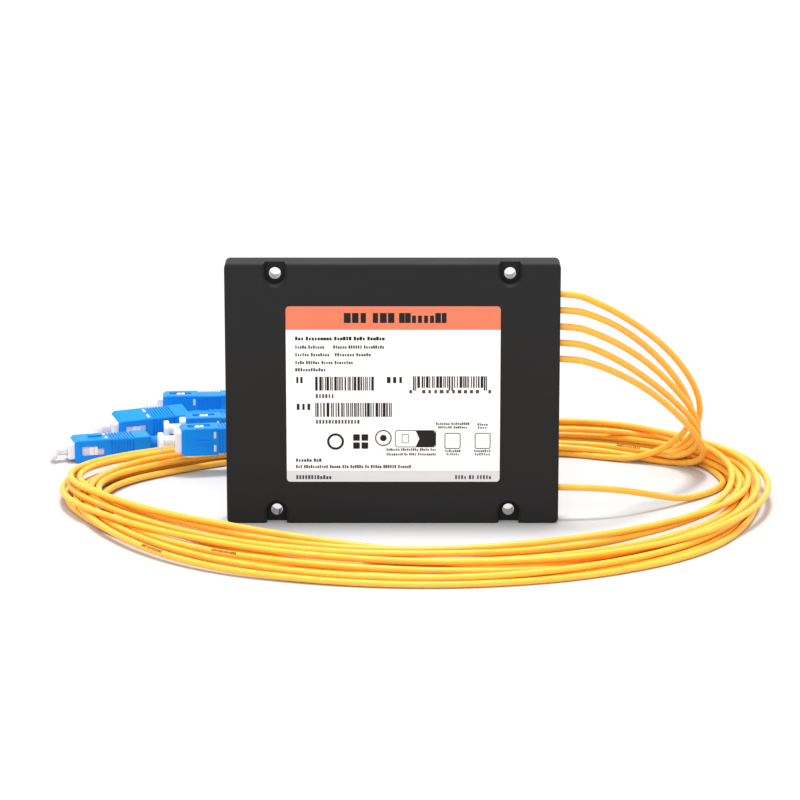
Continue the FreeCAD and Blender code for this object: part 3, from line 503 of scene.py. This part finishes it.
words(grey, px(748), px(972), py(908), 0.8, (9, 2, 4, 10), 0.74)
for u0, u1 in ((1010, 1082), (1146, 1217)):
    xa, xb = px(u0), px(u1)
    ya, yb = py(812), py(884)
    ink.ring(rounded_pts(xa, ya, xb, yb, 0.6), rounded_pts(xa + 0.25, ya + 0.25, xb - 0.25, yb - 0.25, 0.4))
words(grey, px(970), px(1122), py(771), 0.78, (7, 9), 0.74)
words(grey, px(980), px(1113), py(787), 0.7, (7, 7), 0.74)
words(grey, px(1156), px(1204), py(774), 0.78, (5,), 0.74)
words(grey, px(1158), px(1200), py(788), 0.7, (4,), 0.74)
words(grey, px(1012), px(1082), py(893), 0.8, (8,), 0.7)
words(grey, px(1018), px(1076), py(908), 0.75, (7,), 0.6)
words(grey, px(1142), px(1218), py(893), 0.8, (8,), 0.7)
words(grey, px(1144), px(1216), py(908), 0.75, (7,), 0.6)
words(grey, px(340), px(457), py(935), 1.0, (6, 3), 0.74)
words(grey, px(340), px(860), py(964), 1.0, (3, 11, 5, 3, 6, 2, 5, 6, 6), 0.74)
words(grey, px(340), px(502), py(1012), 1.25, (12,), 0.66, 0.9)
words(grey, px(1056), px(1222), py(1012), 1.2, (4, 2, 5), 0.66, 0.9)
ink.make(M["ink"], "module")
grey.make(M["ink_grey"], "module")

# ------------------------------------------------------------------ index marks on the plugs
PLUGS = {1: ((-78.0, 122.0, 4.55), 4, -90), 2: ((-92.0, 94.8, 4.52), 24, 192), 3: ((-103.5, 68.5, 3.75), 16, 0), 4: ((-67.5, 52.0, 11.0), 10, 90), 5: ((-68.5, 92.0, 4.55), 6, 90), 6: ((-20.0, 108.0, 3.75), -4, 0)}


def plug_axes(n):
    nose, yaw, roll = PLUGS[n]
    y, r = math.radians(yaw), math.radians(roll)
    f = Vector((-math.cos(y), -math.sin(y), 0))
    s = Vector((-math.sin(y), math.cos(y), 0))
    k = Vector((0, 0, 1)) * math.cos(r) - s * math.sin(r)
    w = k.cross(f)
    return Vector(nose), f, w, k


for n in range(1, 7):
    o, f, w, k = plug_axes(n)
    bm_parts = []
    for side in (1, -1):
        def to_world(x, y, t, side=side):
            p = o + f * x + w * y + k * (side * (3.7 - 0.002 + t))
            return p * MM
        sh = Sheet("index_marks_%d_%s" % (n, "key" if side > 0 else "plain"), to_world, 0.03)
        for c in (-2.15, 2.15):
            sh.rrect(-10.95, c - 1.05, -10.2, c + 1.05, 0.12)
        sh.make(M["mark"], "grip_%d" % n)

# ------------------------------------------------------------------ ferrule springs
SPRING_X0, SPRING_X1, SPRING_R, WIRE_R, TURNS = -13.93, -8.67, 1.55, 0.25, 4
for n in range(1, 7):
    o, f, w, k = plug_axes(n)
    sm = bmesh.new()
    rings = []
    steps = TURNS * 28
    for i in range(steps + 1):
        t = i / steps
        a = 2 * math.pi * TURNS * t
        rad = w * math.cos(a) + k * math.sin(a)
        centre = o + f * (SPRING_X0 + (SPRING_X1 - SPRING_X0) * t) + rad * SPRING_R
        rings.append([sm.verts.new((centre + rad * (WIRE_R * math.cos(2 * math.pi * j / 10))
                                    + f * (WIRE_R * math.sin(2 * math.pi * j / 10))) * MM) for j in range(10)])
    for ra, rb in zip(rings, rings[1:]):
        for j in range(10):
            i2 = (j + 1) % 10
            sm.faces.new((ra[j], ra[i2], rb[i2], rb[j]))
    sm.faces.new(list(reversed(rings[0])))
    sm.faces.new(rings[-1])
    bmesh.ops.recalc_face_normals(sm, faces=sm.faces)
    me = bpy.data.meshes.new("ferrule_spring_%d" % n)
    sm.to_mesh(me)
    sm.free()
    me.materials.append(M["steel"])
    spring = bpy.data.objects.new("ferrule_spring_%d" % n, me)
    COL.objects.link(spring)
    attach(spring, "module")
    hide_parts("ferrule_springs")
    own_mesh(spring)

# ------------------------------------------------------------------ print dashes on the cords
dash = bmesh.new()


def along(line, s):
    for a, b in zip(line, line[1:]):
        d = (b - a).length
        if s <= d and d > 1e-9:
            return a.lerp(b, s / d), (b - a).normalized()
        s -= d
    return line[-1], (line[-1] - line[-2]).normalized()


def add_dashes(bm, line, s0, count, pitch, lean):
    for k in range(count):
        s = s0 + k * pitch * MM
        ln = pitch * rnd.choice((0.45, 0.6, 0.7))
        for half in (0,):
            p0, t = along(line, s)
            p1, t1 = along(line, s + ln * MM)
            up = Vector((0, -math.sin(lean), math.cos(lean)))
            n0 = (up - t * up.dot(t)).normalized()
            b0 = t.cross(n0)
            n1 = (up - t1 * up.dot(t1)).normalized()
            b1 = t1.cross(n1)
            rows = []
            hgt = rnd.choice((0.38, 0.46, 0.52))
            for p, nn, bb in ((p0, n0, b0), (p1, n1, b1)):
                row = []
                for a in (-hgt, -hgt / 2, 0.0, hgt / 2, hgt):
                    row.append(bm.verts.new(p + (nn * math.cos(a) + bb * math.sin(a)) * 1.012 * MM))
                rows.append(row)
            for q in range(4):
                bm.faces.new((rows[0][q], rows[0][q + 1], rows[1][q + 1], rows[1][q]))


add_dashes(dash, lines[5], 0.9965, 15, 0.62, 0.75)
add_dashes(dash, lines[3], 0.9330, 14, 0.62, 0.75)
add_dashes(dash, lines[3], 0.1210, 12, 0.70, 0.55)
me = bpy.data.meshes.new("cord_print_dashes")
bmesh.ops.recalc_face_normals(dash, faces=dash.faces)
dash.to_mesh(me)
dash.free()
dash_ob = bpy.data.objects.new("cord_print_dashes", me)
COL.objects.link(dash_ob)
me.materials.append(M["ink"])
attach(dash_ob, "module")

# ------------------------------------------------------------------ smooth shading on the CAD nodes
for nm, ob in nodes.items():
    if ob.type == "MESH":
        for p in ob.data.polygons:
            p.use_smooth = True
        try:
            ob.data.set_sharp_from_angle(angle=math.radians(28))
        except Exception:
            pass

# ------------------------------------------------------------------ floor, world, lights
bm = bmesh.new()
bmesh.ops.create_grid(bm, x_segments=8, y_segments=8, size=6.0)
me = bpy.data.meshes.new("floor")
bm.to_mesh(me)
bm.free()
floor = bpy.data.objects.new("floor", me)
COL.objects.link(floor)
m, nt, b = tree("floor_white")
v = coords(nt)
c = ramp(nt, noise_tex(nt, v, 3.0, 2), [(0.3, (0.548, 0.548, 0.548)), (0.7, (0.558, 0.558, 0.558))])
nt.links.new(c, b.inputs["Base Color"])
b.inputs["Roughness"].default_value = 0.9
b.inputs["Specular IOR Level"].default_value = 0.1
me.materials.append(m)

world = bpy.data.worlds.new("studio")
bpy.context.scene.world = world
world.use_nodes = True
wn = world.node_tree
wn.nodes["Background"].inputs["Color"].default_value = (1.0, 1.0, 1.0, 1.0)
wn.nodes["Background"].inputs["Strength"].default_value = 1.02


def area(name, loc, target, size, energy, size_y=None, colour=(1, 1, 1)):
    li = bpy.data.lights.new(name, "AREA")
    li.shape = "RECTANGLE"
    li.size = size
    li.size_y = size_y or size
    li.energy = energy
    li.color = colour
    ob = bpy.data.objects.new(name, li)
    COL.objects.link(ob)
    ob.location = loc
    d = Vector(target) - Vector(loc)
    ob.rotation_euler = d.to_track_quat("-Z", "Y").to_euler()
    return ob


sun_data = bpy.data.lights.new("key", "SUN")
sun_data.energy = 2.7
sun_data.angle = math.radians(14.0)
sun = bpy.data.objects.new("key", sun_data)
COL.objects.link(sun)
sun.location = (0.0, 0.0, 1.2)
sun.rotation_euler = Vector((0.02, -0.13, -1.0)).to_track_quat("-Z", "Y").to_euler()
area("front_strip", (-0.1, -1.0, 0.62), (0.0, 0.0, 0.03), 0.6, 4.0, 0.3)

bpy.context.scene.view_settings.view_transform = "Standard"
bpy.context.scene.view_settings.look = "None"
bpy.context.scene.view_settings.exposure = 0.0
bpy.context.scene.view_settings.gamma = 1.0

bpy.context.view_layer.update()
